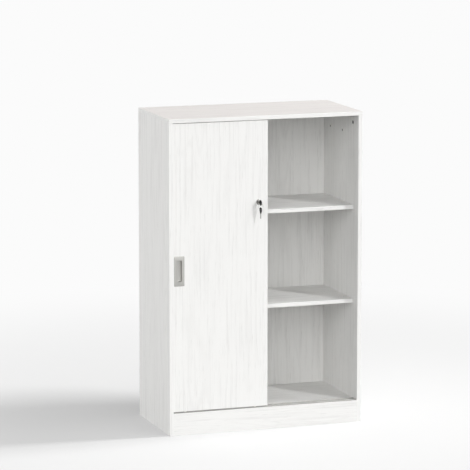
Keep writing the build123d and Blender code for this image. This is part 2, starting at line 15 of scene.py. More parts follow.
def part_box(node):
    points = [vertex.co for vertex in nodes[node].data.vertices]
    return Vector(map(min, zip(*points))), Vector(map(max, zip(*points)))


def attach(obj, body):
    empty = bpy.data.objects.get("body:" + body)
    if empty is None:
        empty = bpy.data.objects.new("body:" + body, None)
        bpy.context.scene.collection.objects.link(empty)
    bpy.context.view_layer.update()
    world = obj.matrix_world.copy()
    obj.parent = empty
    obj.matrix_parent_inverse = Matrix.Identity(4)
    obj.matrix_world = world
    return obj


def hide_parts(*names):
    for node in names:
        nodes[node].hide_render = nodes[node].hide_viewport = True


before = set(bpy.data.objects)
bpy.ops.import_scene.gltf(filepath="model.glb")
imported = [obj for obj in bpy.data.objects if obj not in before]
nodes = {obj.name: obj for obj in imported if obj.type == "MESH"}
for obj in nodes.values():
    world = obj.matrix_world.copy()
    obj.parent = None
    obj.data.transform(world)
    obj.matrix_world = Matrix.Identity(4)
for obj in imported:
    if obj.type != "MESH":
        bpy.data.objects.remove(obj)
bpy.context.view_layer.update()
MM = 0.001

# %% [markdown]
# The camera looks at the front and the left side from a little above, from far away, so that upright
# edges stay almost parallel. A long lens at nearly twelve metres gives that. Depth of field stays off and
# the lens isn't shifted, because the same camera is swung round the cabinet for the other views.

# %% Camera
camera_place = (-3.953, -11.172, 2.746)
camera_yaw = math.radians(18.888)
camera_pitch = math.radians(9.429)
camera_data = bpy.data.cameras.new("long_lens")
camera_data.sensor_width = 36
camera_data.lens = 234.8
camera_data.clip_end = 200
camera = bpy.data.objects.new("long_lens", camera_data)
camera.location = camera_place
camera.rotation_euler = (math.pi / 2 - camera_pitch, 0, -camera_yaw)
bpy.context.scene.collection.objects.link(camera)
bpy.context.scene.camera = camera
print("camera at", camera_place, "lens", camera_data.lens)

# %% [markdown]
# Every finish below is a small tree of shader nodes, and most trees need the same few steps: a sum, a
# value brought from one range to another, and two colours mixed by a share. Each gets a short function
# here, so that a finish can be read in a few lines. A Mix node has one set of sockets for each kind of
# data, and the colour ones can only be told from the others by their number.

# %% Helpers for values and colours
first_colour, second_colour, mixed_colour = 6, 7, 2


def node(tree, kind, **settings):
    """A new node with its properties set by name."""
    made = tree.nodes.new(kind)
    for key, value in settings.items():
        setattr(made, key, value)
    return made


def feed(tree, socket, value):
    """Gives a socket a number, a colour or another node's output."""
    if isinstance(value, bpy.types.NodeSocket):
        tree.links.new(value, socket)
    else:
        socket.default_value = value


def maths(tree, operation, first, second=0.0):
    """A Math node on two numbers or outputs."""
    made = node(tree, "ShaderNodeMath", operation=operation)
    feed(tree, made.inputs[0], first)
    feed(tree, made.inputs[1], second)
    return made.outputs[0]


def vector_maths(tree, operation, first, second):
    """A Vector Math node on two vectors or outputs."""
    made = node(tree, "ShaderNodeVectorMath", operation=operation)
    feed(tree, made.inputs[0], first)
    feed(tree, made.inputs[1], second)
    return made


def between(tree, value, low, high, to_low=0.0, to_high=1.0):
    """A value brought smoothly from one range to another, and held there."""
    made = node(tree, "ShaderNodeMapRange", interpolation_type="SMOOTHSTEP")
    for name, number in (("From Min", low), ("From Max", high), ("To Min", to_low), ("To Max", to_high)):
        feed(tree, made.inputs[name], number)
    tree.links.new(value, made.inputs["Value"])
    return made.outputs["Result"]


def mixed(tree, share, first, second, blend="MIX"):
    """Two colours blended by a share; each is a colour or an output."""
    made = node(tree, "ShaderNodeMix", data_type="RGBA", blend_type=blend)
    tree.links.new(share, made.inputs["Factor"])
    feed(tree, made.inputs[first_colour], first)
    feed(tree, made.inputs[second_colour], second)
    return made.outputs[mixed_colour]


print("helpers for values and colours ready")

# %% [markdown]
# A pattern needs a place to start from, and here it is always the piece's own object coordinates, in
# metres. So a grain keeps its real size on every piece, and it moves with a door that slides. A Mapping
# node turns metres into features, a noise makes the pattern, and a bump of a real depth lets the light
# catch it.

# %% Helpers for patterns


def new_material(name):
    """An empty Principled material, its tree and its shader."""
    material = bpy.data.materials.new(name)
    material.use_nodes = True
    return material, material.node_tree, material.node_tree.nodes["Principled BSDF"]


def placed(tree, scale, start=(0.0, 0.0, 0.0)):
    """Object coordinates in features per metre, begun somewhere else in the pattern."""
    mapping = node(tree, "ShaderNodeMapping")
    mapping.inputs["Location"].default_value = start
    mapping.inputs["Scale"].default_value = scale
    tree.links.new(node(tree, "ShaderNodeTexCoord").outputs["Object"], mapping.inputs["Vector"])
    return mapping.outputs["Vector"]


def noise(tree, vector, detail=2.0, roughness=0.5, distortion=0.0):
    """A noise of scale 1 on a vector."""
    made = node(tree, "ShaderNodeTexNoise")
    made.inputs["Scale"].default_value = 1.0
    made.inputs["Detail"].default_value = detail
    made.inputs["Roughness"].default_value = roughness
    made.inputs["Distortion"].default_value = distortion
    tree.links.new(vector, made.inputs["Vector"])
    return made.outputs["Fac"]


def relief(tree, shader, height, depth):
    """Surface relief of a real depth in metres."""
    made = node(tree, "ShaderNodeBump")
    made.inputs["Distance"].default_value = depth
    tree.links.new(height, made.inputs["Height"])
    tree.links.new(made.outputs["Normal"], shader.inputs["Normal"])


print("helpers for patterns ready")

# %% [markdown]
# The background of a studio picture is white, but a white floor and a white sky would throw their light
# back on the cabinet and wash out its shade. A backdrop of light would do the same. So Light Path tells
# two kinds of ray apart: one that comes from the camera, off a metal or through glass, and one that
# carries light to the cabinet.

# %% Helper for the background


def seen_directly(tree):
    """1 for a ray from the camera, off a mirror or through glass, and 0 for light on the cabinet."""
    path = node(tree, "ShaderNodeLightPath")
    either = maths(tree, "MAXIMUM", path.outputs["Is Camera Ray"], path.outputs["Is Glossy Ray"])
    return maths(tree, "MAXIMUM", either, path.outputs["Is Transmission Ray"])


print("helper for the background ready")

# %% [markdown]
# The floor runs on far behind the cabinet, so no horizon shows. Near the cabinet it is a grey floor under
# strong lamps of its own, so it takes a shadow like a real floor and throws little light back. A glow
# that only the camera and mirrors see lifts it to a studio's near white, and a few metres away it fades
# to that white altogether. A white floor would be simpler, but it would light the cabinet from below.

# %% Floor
floor_half = 60.0
floor_colour = (0.30, 0.30, 0.299)
floor_dust = 0.985
dust_scale = (7.0, 7.0, 7.0)
floor_roughness = 0.9
floor_lift = 0.405
floor_bounce = 0.42
floor_white = 0.965
fade_middle = (0.0, 0.2, 0.0)
fade_start = 0.75
fade_end = 3.0

floor_mesh = bpy.data.meshes.new("floor")
form = bmesh.new()
bmesh.ops.create_grid(form, x_segments=1, y_segments=1, size=floor_half)
form.to_mesh(floor_mesh)
form.free()
floor = bpy.data.objects.new("floor", floor_mesh)
bpy.context.scene.collection.objects.link(floor)


def shaded(colour, share):
    """A colour with each channel taken down to a share of itself, ready for a socket."""
    return (*(share * channel for channel in colour), 1)


def glow(tree, strength):
    """White light of its own, at a strength that is a number or an output."""
    made = node(tree, "ShaderNodeEmission")
    feed(tree, made.inputs["Strength"], strength)
    return made.outputs[0]


floor_material, tree, shader = new_material("pale_floor")
shader.inputs["Roughness"].default_value = floor_roughness
shader.inputs["Specular IOR Level"].default_value = 0.0
seen = seen_directly(tree)
dust = noise(tree, placed(tree, dust_scale), detail=3.0)
shade = mixed(tree, dust, shaded(floor_colour, 1.0), shaded(floor_colour, floor_dust))
tree.links.new(mixed(tree, seen, shaded(floor_colour, floor_bounce), shade), shader.inputs["Base Color"])
lifted = node(tree, "ShaderNodeAddShader")
tree.links.new(shader.outputs[0], lifted.inputs[0])
tree.links.new(glow(tree, maths(tree, "MULTIPLY", seen, floor_lift)), lifted.inputs[1])
place = node(tree, "ShaderNodeTexCoord").outputs["Object"]
away = vector_maths(tree, "DISTANCE", place, fade_middle).outputs["Value"]
faded = node(tree, "ShaderNodeMixShader")
tree.links.new(maths(tree, "MULTIPLY", between(tree, away, fade_start, fade_end), seen), faded.inputs[0])
tree.links.new(lifted.outputs[0], faded.inputs[1])
tree.links.new(glow(tree, floor_white), faded.inputs[2])
tree.links.new(faded.outputs[0], tree.nodes["Material Output"].inputs["Surface"])
floor.data.materials.append(floor_material)
print("floor", 2 * floor_half, "m square, fading from", fade_start, "m")

# %% [markdown]
# The cabinet stands in broad, even light. A small light over the right shoulder throws the short shadow
# of the keys on the door, and low, wide fills light the upright boards and the open shelves. The fill
# from the left stands a little behind the cabinet, so it misses the open shelves, and one fill lights the
# back. The floor takes none of these, through light linking, because each would throw a shadow of its own
# there. It has one wide light from the front instead. The cabinet hides more of that light near its foot,
# so the cast shadow is darkest there.

# %% Distant lights
floor_only = bpy.data.collections.new("floor_only")
floor_only.objects.link(floor)
all_but_floor = bpy.data.collections.new("all_but_floor")
all_but_floor.objects.link(floor)
all_but_floor.collection_objects[0].light_linking.link_state = "EXCLUDE"


def aimed(name, data, towards, lit):
    """A lamp on the objects of one collection, whose light comes from a direction."""
    lamp = bpy.data.objects.new(name, data)
    lamp.rotation_euler = Vector(towards).to_track_quat("Z", "Y").to_euler()
    lamp.light_linking.receiver_collection = lit
    bpy.context.scene.collection.objects.link(lamp)
    return lamp


def distant(name, turn, rise, spread, strength, glare=True, lit=all_but_floor):
    """A distant light: degrees right of the front, above the floor and across, and its strength."""
    data = bpy.data.lights.new(name, "SUN")
    data.energy = strength
    data.angle = math.radians(spread)
    turn, rise = math.radians(turn), math.radians(rise)
    towards = (math.sin(turn) * math.cos(rise), -math.cos(turn) * math.cos(rise), math.sin(rise))
    aimed(name, data, towards, lit).visible_glossy = glare


distant("shoulder_light", turn=35, rise=31, spread=5, strength=1.18)
distant("left_fill", turn=-100, rise=10, spread=36, strength=1.47, glare=False)
distant("front_left_fill", turn=-35, rise=8, spread=60, strength=1.99)
distant("front_right_fill", turn=30, rise=6, spread=60, strength=1.23)
distant("back_fill", turn=180, rise=2, spread=20, strength=1.9, glare=False)
distant("floor_fill", turn=25, rise=42, spread=80, strength=2.7, glare=False, lit=floor_only)

# %% [markdown]
# The shadow on the floor widens as it leaves the cabinet, so the lamp that throws it is near: a softbox
# on the right. A distant light would throw a shadow with parallel sides. The floor's softbox is smaller
# and nearer than the cabinet's. A near lamp is much brighter on what is close to it, so both get a
# falloff that keeps them even.

# %% Softboxes
softbox_aim = (0.0, 0.2, 0.6)


def softbox(name, place, size, power, lit):
    """A square softbox that is as bright from near as from far, on the objects of one collection."""
    data = bpy.data.lights.new(name, "AREA")
    data.size = size
    data.energy = power
    data.use_nodes = True
    even = node(data.node_tree, "ShaderNodeLightFalloff")
    even.inputs["Strength"].default_value = 1.0
    data.node_tree.links.new(even.outputs["Constant"], data.node_tree.nodes["Emission"].inputs["Strength"])
    aimed(name, data, Vector(place) - Vector(softbox_aim), lit).location = place


softbox("softbox", place=(2.24, -0.23, 3.4), size=1.1, power=4.9, lit=all_but_floor)
softbox("floor_softbox", place=(1.34, -0.035, 2.34), size=0.4, power=13.0, lit=floor_only)
print("softboxes aimed at", softbox_aim)

# %% [markdown]
# An even sky fills in what the lamps leave. It is dim on the cabinet and brighter in its metal pieces,
# which would otherwise mirror a dark room. A picture of a room would give livelier reflections, but it
# would tie the cabinet to that room. View transform Standard shows every colour as it is written.

# %% Sky
sky_colour = (1.0, 1.0, 0.995, 1)
sky_light = 0.16
sky_in_mirrors = 0.5

world = bpy.data.worlds.new("studio")
world.use_nodes = True
tree = world.node_tree
sky = tree.nodes["Background"]
sky.inputs["Color"].default_value = sky_colour
level = between(tree, seen_directly(tree), 0.0, 1.0, sky_light, sky_in_mirrors)
tree.links.new(level, sky.inputs["Strength"])
bpy.context.scene.world = world
bpy.context.scene.view_settings.view_transform = "Standard"
print("sky", sky_light, "and in mirrors", sky_in_mirrors)

# %% [markdown]
# The boards carry a bleached wood print. Up close it has short grey pores a millimetre or two wide, then
# streaks as wide as a finger, and the slow arches of a flat-sawn plank. A photograph of wood would repeat
# from board to board, so each layer is a noise instead, stretched along the grain, and the arches are the
# contour lines of a stretched noise. Sizes are in metres, across and along the grain.

# %% Layers of the wood print
pore_size = (0.0016, 0.05)
streak_size = (0.010, 0.30)
plank_size = (0.07, 1.5)
arch_size = (0.16, 1.1)
arch_wander = 0.4
rings_to_arch = 26.0
ring_edge = 0.45
plank_range = (0.42, 0.62)
arch_strength = 0.55
streak_range = (0.46, 0.72)
pore_range = (0.58, 0.74)
pore_patches = (0.38, 0.60)
pore_strength = (0.25, 0.80)


def grain(tree, axis, size, begin, **settings):
    """A noise whose features are narrow across the grain and long along it."""
    across, along = 1 / size[0], 1 / size[1]
    scale = (along, across, across) if axis == "X" else (across, across, along)
    return noise(tree, placed(tree, scale, begin), **settings)


def arch_lines(tree, axis, begin):
    """The arches of a flat-sawn plank, strong in some planks and faint in others."""
    arches = grain(tree, axis, arch_size, begin, detail=1.0, distortion=arch_wander)
    rings = maths(tree, "PINGPONG", maths(tree, "MULTIPLY", arches, rings_to_arch), 1.0)
    planks = grain(tree, axis, plank_size, begin, detail=1.0)
    strength = between(tree, planks, *plank_range, 0.0, arch_strength)
    return maths(tree, "MULTIPLY", between(tree, rings, 0.0, ring_edge, 1.0, 0.0), strength)


print("pores", pore_size, "streaks", streak_size, "arches", arch_size)

# %% [markdown]
# Under the print a board is chipboard. The print covers the faces and the bands on the edges, and where a
# hole or a groove goes through it, brown chips show, painted darker than raw chipboard as painted shade
# for the deep holes. Painting every hole by hand would be slow and easy to get wrong. A board's print lies
# on the outside of its box, so anything deeper inside than the print is thick must be core.

# %% Core of the chipboard
# painted shade: both chip browns are darker than raw chipboard, for the shade in deep holes
core_light_and_painted_shade = (0.20, 0.14, 0.09, 1)
core_dark_and_painted_shade = (0.07, 0.05, 0.03, 1)
chip_scale = (700.0, 700.0, 700.0)
chip_range = (0.4, 0.6)
print_thickness = 0.0006


def inside(tree, low, high):
    """1 inside a box of object coordinates and 0 outside it."""
    place = node(tree, "ShaderNodeTexCoord").outputs["Object"]
    from_low = vector_maths(tree, "SUBTRACT", place, low).outputs["Vector"]
    from_high = vector_maths(tree, "SUBTRACT", high, place).outputs["Vector"]
    nearest = vector_maths(tree, "MINIMUM", from_low, from_high).outputs["Vector"]
    split = node(tree, "ShaderNodeSeparateXYZ")
    tree.links.new(nearest, split.inputs[0])
    x, y, z = split.outputs
    return maths(tree, "GREATER_THAN", maths(tree, "MINIMUM", maths(tree, "MINIMUM", x, y), z), 0.0)


def cored(tree, name, colour):
    """A board's colour on its outside, and deeper in, raw chips darkened with painted shade."""
    low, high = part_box(name)
    skin_off = Vector((print_thickness,) * 3)
    chips = noise(tree, placed(tree, chip_scale))
    # chips darkened with painted shade
    core_with_painted_shade = mixed(tree, between(tree, chips, *chip_range), core_light_and_painted_shade, core_dark_and_painted_shade)
    return mixed(tree, inside(tree, low + skin_off, high - skin_off), colour, core_with_painted_shade)


print("print", print_thickness / MM, "mm thick")

# %% [markdown]
# The layers now make one material for each board. One material for all of them would run the grain
# straight across every joint, so each board starts somewhere else in the pattern. The upward face of the
# top gets painted shade, a tint that makes it a little warmer and greyer than the rest. Its edge bands
# don't get it, so the tint goes only where the surface faces up. The pores are sunk by a few hundredths
# of a millimetre, as they are in embossed melamine.

# %% Wood-grain boards
board_light = (0.890, 0.887, 0.872, 1)
board_streak = (0.815, 0.811, 0.797, 1)
board_pore = (0.690, 0.685, 0.670, 1)
# painted shade: a warm grey that darkens the top's upward face
top_painted_shade = (0.955, 0.921, 0.914, 1)
upward_range = (0.6, 0.8)
board_start = (3.7, 1.9, 5.3)
board_gloss = 0.15
board_roughness = (0.50, 0.62)
roughness_range = (0.3, 0.8)
pore_depth = 0.00006


def painted_shade_on_top(tree, colour, painted_top_shade):
    """A colour darkened and warmed by painted shade where the surface faces up."""
    normal = node(tree, "ShaderNodeSeparateXYZ")
    tree.links.new(node(tree, "ShaderNodeTexCoord").outputs["Normal"], normal.inputs[0])
    facing_up = between(tree, normal.outputs[2], *upward_range)
    return mixed(tree, facing_up, colour, painted_top_shade, blend="MULTIPLY")


def wood_grain(name, axis, start, painted_top_shade):
    """Bleached wood print on melamine over chipboard, for one board, with its grain along an axis."""
    material, tree, shader = new_material(name + "_grain")
    begin = tuple(start * shift for shift in board_start)
    streaks = grain(tree, axis, streak_size, begin, detail=3.0, roughness=0.6)
    pores = grain(tree, axis, pore_size, begin)
    patches = between(tree, streaks, *pore_patches, *pore_strength)
    pore_share = maths(tree, "MULTIPLY", between(tree, pores, *pore_range), patches)
    soft = maths(tree, "MAXIMUM", between(tree, streaks, *streak_range), arch_lines(tree, axis, begin))
    colour = mixed(tree, soft, board_light, board_streak)
    colour = mixed(tree, pore_share, colour, board_pore)
    # painted shade on the top's upward face
    if painted_top_shade:
        colour = painted_shade_on_top(tree, colour, painted_top_shade)
    tree.links.new(cored(tree, name, colour), shader.inputs["Base Color"])
    rough = between(tree, pores, *roughness_range, *board_roughness)
    tree.links.new(rough, shader.inputs["Roughness"])
    shader.inputs["Specular IOR Level"].default_value = board_gloss
    relief(tree, shader, maths(tree, "SUBTRACT", 1.0, pore_share), pore_depth)
    return material


def paint(name, material):
    """Gives a node of the model one material."""
    nodes[name].data.materials.clear()
    nodes[name].data.materials.append(material)


boards = (
    ("left_side_panel", "Z", None),
    ("right_side_panel", "Z", None),
    ("back_panel", "Z", None),
    ("front_door_panel", "Z", None),
    ("rear_door_panel", "Z", None),
    ("top_panel", "X", top_painted_shade),
    ("bottom_panel", "X", None),
    ("front_plinth", "X", None),
    ("rear_plinth", "X", None),
    ("upper_shelf", "X", None),
    ("lower_shelf", "X", None),
)
for start, (name, axis, painted_top_shade) in enumerate(boards, 1):
    paint(name, wood_grain(name, axis, start, painted_top_shade))
print("boards", len(boards))

# %% [markdown]
# The metal pieces are drawn, rolled or plated. Metal shows how it was made: a drawn rail and a rolled
# plate have fine lines in one direction, and a plated screw is mottled. A scratched picture could be laid
# over them, but a noise that is stretched along the lines fits any shape. It goes into the roughness and
# into a relief only thousandths of a millimetre deep.

# %% Metals
line_shade = 0.86
wear_scale = (60.0, 60.0, 60.0)
wear_share = 0.5
uneven_range = (0.45, 1.0)
smoothest, roughest = 0.8, 1.3
line_depth = 0.000004
mottle_depth = 0.000002


def brushed(name, colour, roughness, scale, depth=line_depth):
    """Metal with fine lines: the scale is features per metre along X, Y and Z."""
    material, tree, shader = new_material(name)
    lines = noise(tree, placed(tree, scale), detail=3.0, roughness=0.65)
    streaked = mixed(tree, lines, (*colour, 1), shaded(colour, line_shade))
    tree.links.new(streaked, shader.inputs["Base Color"])
    shader.inputs["Metallic"].default_value = 1.0
    wear = noise(tree, placed(tree, wear_scale), detail=3.0)
    uneven = maths(tree, "ADD", lines, maths(tree, "MULTIPLY", wear, wear_share))
    rough = between(tree, uneven, *uneven_range, roughness * smoothest, roughness * roughest)
    tree.links.new(rough, shader.inputs["Roughness"])
    relief(tree, shader, lines, depth)
    return material


def plated(name, colour, roughness, mottle=900.0):
    """Metal with a mottled plating."""
    return brushed(name, colour, roughness, (mottle, mottle, mottle), mottle_depth)


satin_nickel = brushed("satin_nickel", (0.46, 0.455, 0.435), roughness=0.36, scale=(2600, 2600, 60))
lock_nickel = brushed("lock_nickel", (0.42, 0.415, 0.40), roughness=0.30, scale=(2600, 60, 2600))
rail_aluminium = brushed("rail_aluminium", (0.44, 0.435, 0.42), roughness=0.42, scale=(40, 2400, 2400))
key_steel = brushed("key_steel", (0.42, 0.41, 0.39), roughness=0.30, scale=(1800, 1800, 90))
zinc_steel = plated("zinc_steel", (0.60, 0.60, 0.60), roughness=0.36)
support_nickel = plated("support_nickel", (0.64, 0.63, 0.61), roughness=0.30)
# painted shade: the cams' zinc is nearly black, for the shade in the holes they sit in
dark_zinc = plated("dark_zinc", (0.09, 0.09, 0.09), roughness=0.5, mottle=500.0)
ring_steel = plated("ring_steel", (0.70, 0.70, 0.69), roughness=0.16)
drawn_metals = (satin_nickel, lock_nickel, rail_aluminium, key_steel)
plated_metals = (zinc_steel, support_nickel, dark_zinc, ring_steel)
print("metals", [material.name for material in drawn_metals + plated_metals])

# %% [markdown]
# The guides, housings, wheels and key heads are moulded plastic. A mould that was cut by sparks leaves a
# fine even texture, and the gloss is a little cloudy where the plastic cooled slowly. The texture is a
# relief, because painted specks would look dirty on a black key.

# %% Plastics
spark_scale = (2600.0, 2600.0, 2600.0)
spark_depth = 0.000012
cloud_scale = (90.0, 90.0, 90.0)
cloud_range = (0.3, 0.7)
cloud_gain = 1.12
cloud_haze = 0.004
glossiest, dullest = 0.88, 1.12


def moulded(name, colour, roughness, shine=0.5):
    """Plastic with a fine spark texture and slightly uneven gloss."""
    material, tree, shader = new_material(name)
    cloud = noise(tree, placed(tree, cloud_scale))
    light = (*(channel * cloud_gain + cloud_haze for channel in colour), 1)
    tree.links.new(mixed(tree, cloud, (*colour, 1), light), shader.inputs["Base Color"])
    rough = between(tree, cloud, *cloud_range, roughness * glossiest, roughness * dullest)
    tree.links.new(rough, shader.inputs["Roughness"])
    shader.inputs["Specular IOR Level"].default_value = shine
    relief(tree, shader, noise(tree, placed(tree, spark_scale)), spark_depth)
    return material


channel_grey = moulded("channel_grey", (0.40, 0.40, 0.40), roughness=0.5)
housing_grey = moulded("housing_grey", (0.52, 0.52, 0.51), roughness=0.48)
wheel_nylon = moulded("wheel_nylon", (0.80, 0.79, 0.75), roughness=0.42)
key_black = moulded("key_black", (0.006, 0.006, 0.007), roughness=0.4, shine=0.05)
plastics = (channel_grey, housing_grey, wheel_nylon, key_black)
print("plastics", [material.name for material in plastics])

# %% [markdown]
# Each piece of the model that isn't a board gets its metal or plastic. They could be painted one by one
# where each is made, but in a table one look shows what the whole cabinet is made of.

# %% Finishes of the fittings
finishes = {
    "shelf_supports": support_nickel,
    "bottom_track": rail_aluminium,
    "top_track": channel_grey,
    "cam_fittings": dark_zinc,
    "front_door_pull": satin_nickel,
    "rear_door_pull": satin_nickel,
    "front_wheel_housings": housing_grey,
    "rear_wheel_housings": housing_grey,
    "front_wheel_axles": zinc_steel,
    "rear_wheel_axles": zinc_steel,
    "front_top_guides": housing_grey,
    "rear_top_guides": housing_grey,
    "front_left_wheel": wheel_nylon,
    "front_right_wheel": wheel_nylon,
    "rear_left_wheel": wheel_nylon,
    "rear_right_wheel": wheel_nylon,
    "lock_housing": lock_nickel,
    "lock_nut": zinc_steel,
    "lock_plug": lock_nickel,
    "lock_arm": zinc_steel,
    "arm_screw": zinc_steel,
    "strike_pin": zinc_steel,
    "lock_key_head": key_black,
    "lock_key_blade": key_steel,
    "key_ring": ring_steel,
    "spare_key_head": key_black,
    "spare_key_blade": key_steel,
}
for name, material in finishes.items():
    paint(name, material)
print("finishes", len(finishes))

# %% [markdown]
# A flush pull, a key head and a screw head are all skins stretched over a stack of loops. Each loop is an
# outline at one depth, and every loop of a piece has the same number of points. So the rim of the first
# loop is extruded, the new points are moved on to the next loop, and so on. Bridging finished loops would
# do as well, but between unlike outlines it picks the partners itself, and may twist the skin.

# %% Skins and finished pieces


def skin(form, loops, endless=False):
    """Draws the first loop of points out to each next one, and closes the ends or joins them."""
    points = [form.verts.new(point) for point in loops[0]]
    first = [form.edges.new(pair) for pair in zip(points, points[1:] + points[:1])]
    last = first
    for loop in loops[1:]:
        drawn = bmesh.ops.extrude_edge_only(form, edges=last)["geom"]
        points = [part for part in drawn if isinstance(part, bmesh.types.BMVert)]
        last = [part for part in drawn if isinstance(part, bmesh.types.BMEdge) and part.is_boundary]
        for point, place in zip(points, loop):
            point.co = place
    if endless:
        bmesh.ops.bridge_loops(form, edges=first + last)
    else:
        bmesh.ops.holes_fill(form, edges=first + last, sides=len(loops[0]))


def finished(name, form, material, body, smooth_to=35):
    """Makes an object of a form: smooth up to an angle, in its material, riding on its body."""
    bmesh.ops.recalc_face_normals(form, faces=form.faces[:])
    mesh = bpy.data.meshes.new(name)
    form.to_mesh(mesh)
    form.free()
    mesh.shade_smooth()
    mesh.set_sharp_from_angle(angle=math.radians(smooth_to))
    mesh.materials.append(material)
    piece = bpy.data.objects.new(name, mesh)
    bpy.context.scene.collection.objects.link(piece)
    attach(piece, body)
    return piece


print("helpers for pieces ready")

# %% [markdown]
# The flush pull is pressed from one sheet: a plate with eased edges, a rolled rim that stands a little
# proud, and a finger pocket whose floor meets its walls in a wide round. A box with bevelled edges would
# have the same round everywhere, and here each edge has its own. So the outline, from the hidden cup
# behind the plate round to the pocket's floor, is a stack of rounded rectangles. Sizes are in
# millimetres.

# %% Outline of a flush pull
corner_steps = 6
ease_steps = 4
floor_steps = 8
plate_corner = 2.0
plate_rise = 1.2
plate_ease = 0.5
rim_width = 2.4
rim_rise = 0.7
pocket_width = 20.0
pocket_height = 84.5
pocket_corner = 5.0
pocket_depth = 10.0
floor_round = 2.8
cup_wall = 1.2


def rounded_rectangle(middle, width, height, corner, y):
    """The points of a rounded rectangle that faces the front."""
    points = []
    for quarter, (sx, sz) in enumerate(((1, 1), (-1, 1), (-1, -1), (1, -1))):
        for step in range(corner_steps + 1):
            turn = math.pi / 2 * (quarter + step / corner_steps)
            x = sx * (width / 2 - corner) + corner * math.cos(turn)
            z = sz * (height / 2 - corner) + corner * math.sin(turn)
            points.append((middle.x + x * MM, middle.y + y * MM, middle.z + z * MM))
    return points


def quarter_turn(steps):
    """The angles of a quarter turn, from 0 up."""
    return [math.pi / 2 * step / steps for step in range(steps + 1)]


def pocket_grown(by):
    """The width, height and corner of the pocket's mouth, larger by the same all round."""
    return pocket_width + 2 * by, pocket_height + 2 * by, pocket_corner + by


def pull_stack(width, height):
    """Each loop of a pull, as a width, height, corner, inset and depth."""
    rim = pocket_grown(rim_width)
    cup = pocket_grown(cup_wall)
    plate = (width, height, plate_corner)
    stack = [(*cup, 0.0, pocket_depth + cup_wall), (*cup, 0.0, 0.0), (*plate, 0.0, 0.0)]
    for turn in quarter_turn(ease_steps):
        rise = plate_rise - plate_ease + plate_ease * math.sin(turn)
        stack.append((*plate, plate_ease * (1 - math.cos(turn)), -rise))
    for turn in quarter_turn(ease_steps):
        inset = rim_rise * (1 - math.cos(turn))
        stack.append((*rim, inset, -plate_rise - rim_rise * math.sin(turn)))
    for turn in reversed(quarter_turn(ease_steps)):
        inset = rim_width - rim_rise * (1 - math.cos(turn))
        stack.append((*rim, inset, -plate_rise - rim_rise * math.sin(turn)))
    for turn in quarter_turn(floor_steps):
        inset = rim_width + floor_round * (1 - math.cos(turn))
        stack.append((*rim, inset, pocket_depth - floor_round * (1 - math.sin(turn))))
    return stack


print("pocket", pocket_width, "by", pocket_height, "mm")

# %% [markdown]
# Both doors have the same pull. A copy of the first would do for the second, but each takes its size and
# place from the plain pull in the model, so neither can drift from its door. The plate lies on the door's
# face, so depths in the stack count from that face, and what stands out of the door is below zero.

# %% Flush pulls


def flush_pull(name, body):
    """A pressed pull in place of the plain one."""
    low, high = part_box(name)
    size = (high - low) / MM
    face_y = low.y + (plate_rise + rim_rise) * MM
    middle = Vector(((low.x + high.x) / 2, face_y, (low.z + high.z) / 2))
    loops = []
    for wide, tall, corner, inset, y in pull_stack(size.x, size.z):
        loops.append(rounded_rectangle(middle, wide - 2 * inset, tall - 2 * inset, corner - inset, y))
    form = bmesh.new()
    skin(form, loops)
    piece = finished(name + "_pressed", form, satin_nickel, body, smooth_to=50)
    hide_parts(name)
    return piece


pulls = [flush_pull("front_door_pull", "front_door"), flush_pull("rear_door_pull", "rear_door")]
print("pulls", [piece.name for piece in pulls])

# %% [markdown]
# The lock's housing is a turned piece: a collar with a full round at its edge lies on the door, and a
# threaded barrel goes through it to the nut behind. Cylinders could be stacked for it, but a profile spun
# once round gives the round, the barrel and the bore together. The thread is cut as separate rings and
# not as a helix, because it shows only as fine lines in the gap behind the door.

# %% Lock collar
collar_radius = 11.0
collar_rise = 2.5
collar_round = 1.5
collar_steps = 6
bore_radius = 6.05
bore_ease = 0.35
barrel_radius = 9.0
thread_start = 8.0
thread_pitch = 1.0
thread_depth = 0.35
lathe_steps = 72

low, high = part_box("lock_housing")
lock_middle = Vector(((low.x + high.x) / 2, 0.0, (low.z + high.z) / 2))
collar_face = low.y / MM
barrel_end = high.y / MM
door_face = collar_face + collar_rise
profile = [(collar_face, bore_radius + bore_ease)]
for turn in quarter_turn(collar_steps):
    eased_y = collar_face + collar_round * (1 - math.cos(turn))
    eased_radius = collar_radius - collar_round * (1 - math.sin(turn))
    profile.append((eased_y, eased_radius))
profile += [(door_face, collar_radius), (door_face, barrel_radius)]
thread_y = door_face + thread_start
while thread_y < barrel_end - thread_pitch:
    profile += [(thread_y, barrel_radius), (thread_y + thread_pitch / 2, barrel_radius - thread_depth)]
    thread_y += thread_pitch
profile += [(barrel_end, barrel_radius - thread_depth), (barrel_end, bore_radius)]
profile.append((collar_face + bore_ease, bore_radius))

form = bmesh.new()
corners = [form.verts.new((lock_middle.x, y * MM, lock_middle.z + radius * MM)) for y, radius in profile]
edges = [form.edges.new(pair) for pair in zip(corners, corners[1:] + corners[:1])]
bmesh.ops.spin(
    form,
    geom=corners + edges,
    cent=lock_middle,
    axis=(0, 1, 0),
    angle=2 * math.pi,
    steps=lathe_steps,
    use_merge=True,
)
collar = finished("lock_collar", form, lock_nickel, "front_door")
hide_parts("lock_housing")
print("collar", collar.name, "with", len(profile), "points in its profile")

# %% [markdown]
# The heads of both keys are moulded, and egg-shaped: a large circle for the thumb and a small one at the
# neck, joined by straight sides. A stretched circle would be rounder at the neck. The reach of the true
# outline can be worked out for any direction, so an inset outline is the same egg with both radii
# smaller.

# %% Outline of a key head
neck_radius = 5.0


